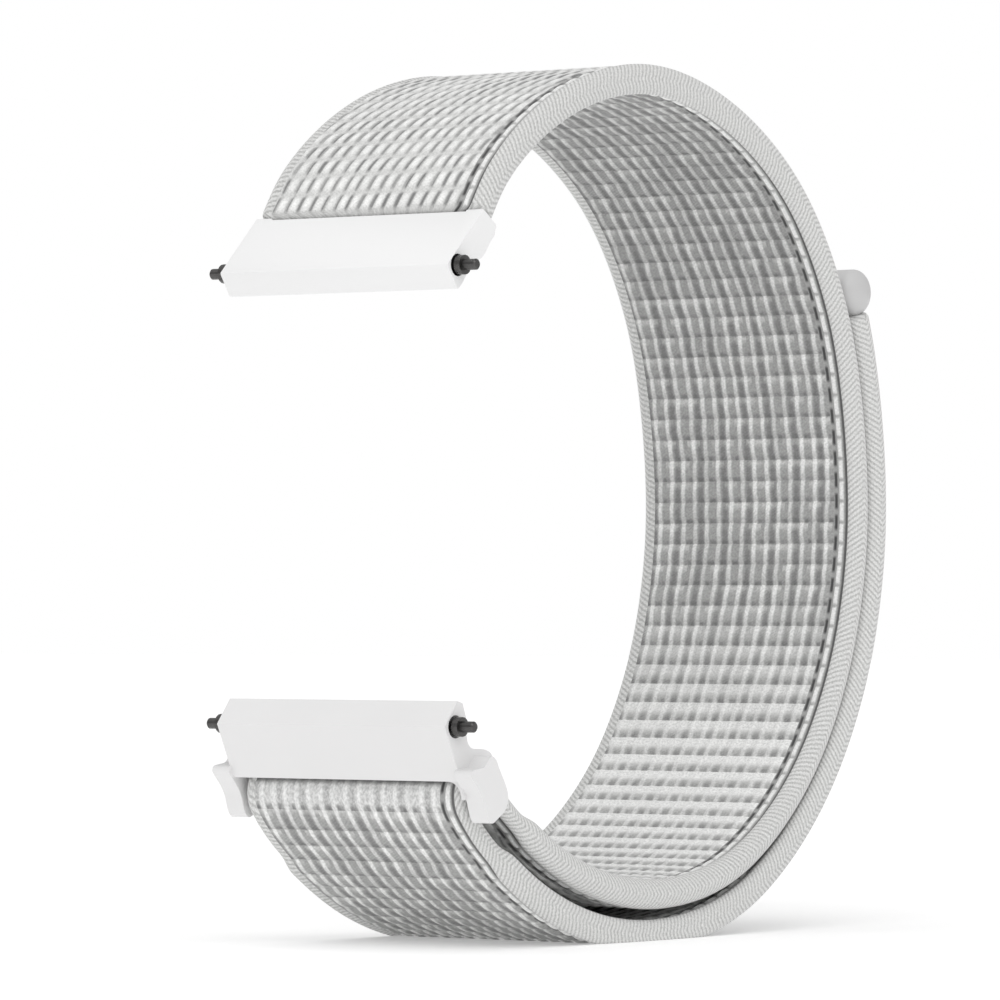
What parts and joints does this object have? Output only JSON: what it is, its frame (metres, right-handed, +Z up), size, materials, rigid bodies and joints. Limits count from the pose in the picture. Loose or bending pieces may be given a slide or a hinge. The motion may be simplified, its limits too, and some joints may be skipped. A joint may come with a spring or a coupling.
{
  "type": "hook and loop watch strap",
  "caption": "Woven hook and loop watch strap, closed in a loop, with moulded end pieces on sprung bars and a tail folded through a buckle.",
  "frame": {"origin": "middle of the footprint, on the table that the closed strap stands on", "axes": "+X across the strap towards the near end of the bars, +Y from the watch side to the back of the loop, +Z up"},
  "size_m": [0.0256, 0.0596, 0.0679],
  "materials": {
    "woven_strap": "woven nylon in white and grey",
    "hook_patch": "short stiff hooks, white",
    "white_moulding": "smooth satin white",
    "steel": "dark bright steel"
  },
  "bodies": {
    "strap": {"strap_band": "woven_strap", "strap_fold": "woven_strap", "tail_lower": "woven_strap"},
    "upper_end": {"upper_end_piece": "white_moulding", "anchor_pin": "steel"},
    "buckle": {"buckle": "white_moulding"},
    "upper_bar": {"upper_bar_tube": "steel", "upper_bar_spring": "steel"},
    "upper_tip_near": {"upper_bar_tip_near": "steel"},
    "upper_tip_far": {"upper_bar_tip_far": "steel"},
    "lower_bar": {"lower_bar_tube": "steel", "lower_bar_spring": "steel"},
    "lower_tip_near": {"lower_bar_tip_near": "steel"},
    "lower_tip_far": {"lower_bar_tip_far": "steel"},
    "flap_1": {"tail_flap_1": "woven_strap"},
    "flap_2": {"tail_flap_2": "woven_strap", "hook_patch_1": "hook_patch"},
    "flap_3": {"tail_flap_3": "woven_strap", "hook_patch_2": "hook_patch"},
    "flap_4": {"tail_flap_4": "woven_strap", "hook_patch_3": "hook_patch"},
    "flap_5": {"tail_flap_5": "woven_strap", "hook_patch_4": "hook_patch", "tail_rod": "white_moulding"}
  },
  "joints": [
    {"name": "upper_end_swing", "type": "hinge", "parent": "strap", "child": "upper_end", "pos_m": [0, -0.02584, 0.05322], "axis": [1, 0, 0], "range_deg": [-4, 5]},
    {"name": "buckle_swing", "type": "hinge", "parent": "strap", "child": "buckle", "pos_m": [0, -0.02465, 0.01168], "axis": [1, 0, 0], "range_deg": [-12, 12]},
    {"name": "upper_bar_turn", "type": "hinge", "parent": "upper_end", "child": "upper_bar", "pos_m": [0, -0.02825, 0.05126], "axis": [1, 0, 0], "continuous": true},
    {"name": "upper_tip_near_press", "type": "slide", "parent": "upper_bar", "child": "upper_tip_near", "axis": [-1, 0, 0], "range_m": [0, 0.0015], "stiffness_N_per_m": 1500, "springref_m": -0.0005, "deforming": ["upper_bar_spring"]},
    {"name": "upper_tip_far_press", "type": "slide", "parent": "upper_bar", "child": "upper_tip_far", "axis": [1, 0, 0], "range_m": [0, 0.0015], "stiffness_N_per_m": 1500, "springref_m": -0.0005, "deforming": ["upper_bar_spring"]},
    {"name": "lower_bar_turn", "type": "hinge", "parent": "buckle", "child": "lower_bar", "pos_m": [0, -0.02854, 0.01694], "axis": [1, 0, 0], "continuous": true},
    {"name": "lower_tip_near_press", "type": "slide", "parent": "lower_bar", "child": "lower_tip_near", "axis": [-1, 0, 0], "range_m": [0, 0.0015], "stiffness_N_per_m": 1500, "springref_m": -0.0005, "deforming": ["lower_bar_spring"]},
    {"name": "lower_tip_far_press", "type": "slide", "parent": "lower_bar", "child": "lower_tip_far", "axis": [1, 0, 0], "range_m": [0, 0.0015], "stiffness_N_per_m": 1500, "springref_m": -0.0005, "deforming": ["lower_bar_spring"]},
    {"name": "tail_peel_1", "type": "hinge", "parent": "strap", "child": "flap_1", "pos_m": [0, 0.0064, 0.00045], "axis": [-1, 0, 0], "range_deg": [0, 22]},
    {"name": "tail_peel_2", "type": "hinge", "parent": "flap_1", "child": "flap_2", "pos_m": [0, 0.01756, 0.00658], "axis": [-1, 0, 0], "range_deg": [0, 22]},
    {"name": "tail_peel_3", "type": "hinge", "parent": "flap_2", "child": "flap_3", "pos_m": [0, 0.02546, 0.01649], "axis": [-1, 0, 0], "range_deg": [0, 22]},
    {"name": "tail_peel_4", "type": "hinge", "parent": "flap_3", "child": "flap_4", "pos_m": [0, 0.02941, 0.02851], "axis": [-1, 0, 0], "range_deg": [0, 22]},
    {"name": "tail_peel_5", "type": "hinge", "parent": "flap_4", "child": "flap_5", "pos_m": [0, 0.02928, 0.04113], "axis": [-1, 0, 0], "range_deg": [0, 22]}
  ],
  "couplings": [
    {"joint": "tail_peel_2", "follows": "tail_peel_1", "ratio": 1},
    {"joint": "tail_peel_3", "follows": "tail_peel_1", "ratio": 1},
    {"joint": "tail_peel_4", "follows": "tail_peel_1", "ratio": 1},
    {"joint": "tail_peel_5", "follows": "tail_peel_1", "ratio": 1}
  ]
}
